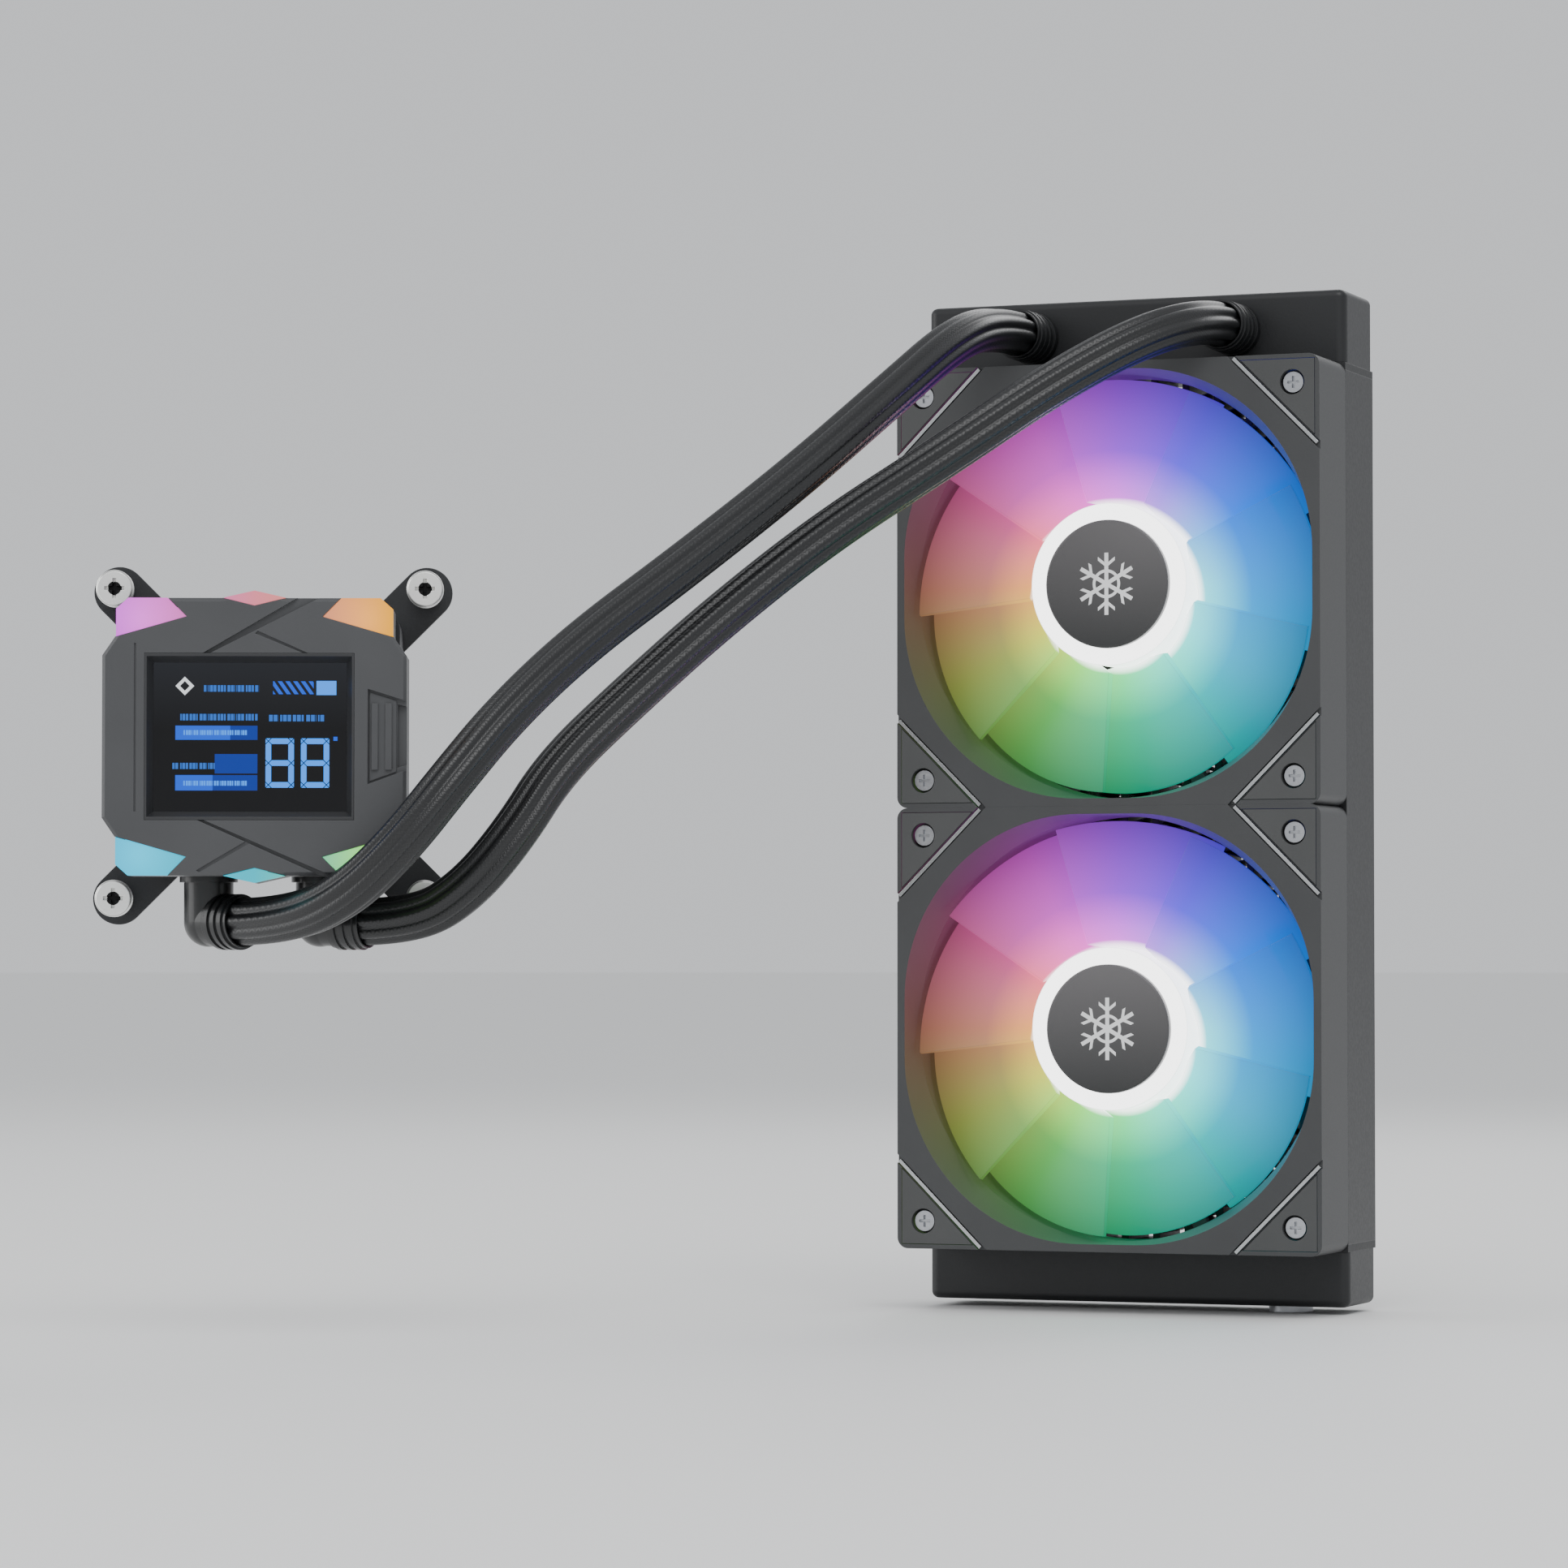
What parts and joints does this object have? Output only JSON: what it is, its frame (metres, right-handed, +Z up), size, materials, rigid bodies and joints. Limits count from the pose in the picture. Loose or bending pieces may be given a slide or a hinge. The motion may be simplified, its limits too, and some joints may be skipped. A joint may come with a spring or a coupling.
{
  "type": "liquid cooling radiator",
  "caption": "Upright radiator with lit fans on its front, joined by sleeved hoses to a pump and cold-plate head with a small display.",
  "frame": {"origin": "middle of the radiator's back face, which is screwed to the case", "axes": "+Z up along the radiator, towards the hose tank; the fans face -Y; +Y is out of the radiator's back face; +X to the right as seen from the fans"},
  "size_m": [0.2733, 0.2647, 0.277],
  "materials": {
    "bezel_plastic": "satin",
    "black_paint": "black powder coat, fine texture",
    "bracket_steel": "black",
    "braided_sleeve": "braided sleeve over rubber",
    "bright_trim": "bright strip",
    "bronze": "sintered bronze",
    "cap_plastic": "satin",
    "circuit_board": "solder mask",
    "copper": "machined copper",
    "copper_wire": "enamelled windings on steel",
    "core_aluminium": "painted black, satin",
    "cover_plastic": "satin",
    "display_glass": "black, with a lit display behind it",
    "elbow_plastic": "black",
    "fan_plastic": "fine moulded texture",
    "fin_aluminium": "thin black-coated sheet",
    "housing_plastic": "glass-filled plastic",
    "impeller_plastic": "white plastic",
    "magnet": "moulded ferrite",
    "opal_plastic": "frosted, lit from the hub",
    "panel_rubber": "matt",
    "screw_steel": "zinc plated",
    "seal_rubber": "matt",
    "spring_steel": "spring wire",
    "steel": "turned",
    "white_nickel": "bright nickel",
    "window_plastic": "opal, lit from behind"
  },
  "bodies": {
    "cooler": {"cold_plate": "copper", "cold_plate_screws": "steel", "cold_plate_seal": "seal_rubber", "core_fins": "fin_aluminium", "core_tubes": "core_aluminium", "display_bezel": "bezel_plastic", "display_glass": "display_glass", "fan_lower_bearing": "bronze", "fan_lower_board": "circuit_board", "fan_lower_corner_panels": "panel_rubber", "fan_lower_corner_trim": "bright_trim", "fan_lower_frame": "fan_plastic", "fan_lower_screws": "screw_steel", "fan_lower_stator": "copper_wire", "fan_upper_bearing": "bronze", "fan_upper_board": "circuit_board", "fan_upper_corner_panels": "panel_rubber", "fan_upper_corner_trim": "bright_trim", "fan_upper_frame": "fan_plastic", "fan_upper_screws": "screw_steel", "fan_upper_stator": "copper_wire", "fill_plug": "steel", "header_plates": "core_aluminium", "hose_left": "braided_sleeve", "hose_right": "braided_sleeve", "impeller_pin": "steel", "light_board": "circuit_board", "light_windows": "window_plastic", "motor_can": "housing_plastic", "motor_stator": "copper_wire", "mounting_bracket": "bracket_steel", "pump_cover": "cover_plastic", "pump_elbow_left": "elbow_plastic", "pump_elbow_right": "elbow_plastic", "pump_housing": "housing_plastic", "radiator_fitting_left": "black_paint", "radiator_fitting_right": "black_paint", "screw_spring_1": "spring_steel", "screw_spring_2": "spring_steel", "screw_spring_3": "spring_steel", "screw_spring_4": "spring_steel", "side_channels": "black_paint", "side_clip": "cover_plastic", "tank_baffle": "black_paint", "tank_bottom": "black_paint", "tank_top": "black_paint"},
    "fan_upper_rotor": {"fan_upper_rotor": "opal_plastic", "fan_upper_hub_cap": "cap_plastic", "fan_upper_magnet": "magnet", "fan_upper_shaft": "steel"},
    "fan_lower_rotor": {"fan_lower_rotor": "opal_plastic", "fan_lower_hub_cap": "cap_plastic", "fan_lower_magnet": "magnet", "fan_lower_shaft": "steel"},
    "impeller": {"impeller": "impeller_plastic"},
    "mounting_screw_1": {"mounting_screw_1": "white_nickel"},
    "mounting_screw_2": {"mounting_screw_2": "white_nickel"},
    "mounting_screw_3": {"mounting_screw_3": "white_nickel"},
    "mounting_screw_4": {"mounting_screw_4": "white_nickel"}
  },
  "joints": [
    {"name": "fan_upper_spin", "type": "hinge", "parent": "cooler", "child": "fan_upper_rotor", "pos_m": [0, -0.04, 0.06], "axis": [0, -1, 0], "continuous": true},
    {"name": "fan_lower_spin", "type": "hinge", "parent": "cooler", "child": "fan_lower_rotor", "pos_m": [0, -0.04, -0.06], "axis": [0, -1, 0], "continuous": true},
    {"name": "impeller_spin", "type": "hinge", "parent": "cooler", "child": "impeller", "pos_m": [-0.1642, -0.2225, 0.013], "axis": [0.4067, -0.9135, 0], "continuous": true},
    {"name": "mounting_screw_1_slide", "type": "slide", "parent": "cooler", "child": "mounting_screw_1", "axis": [0.4067, -0.9135, 0], "range_m": [0, 0.003], "deforming": ["screw_spring_1"]},
    {"name": "mounting_screw_2_slide", "type": "slide", "parent": "cooler", "child": "mounting_screw_2", "axis": [0.4067, -0.9135, 0], "range_m": [0, 0.003], "deforming": ["screw_spring_2"]},
    {"name": "mounting_screw_3_slide", "type": "slide", "parent": "cooler", "child": "mounting_screw_3", "axis": [0.4067, -0.9135, 0], "range_m": [0, 0.003], "deforming": ["screw_spring_3"]},
    {"name": "mounting_screw_4_slide", "type": "slide", "parent": "cooler", "child": "mounting_screw_4", "axis": [0.4067, -0.9135, 0], "range_m": [0, 0.003], "deforming": ["screw_spring_4"]}
  ]
}
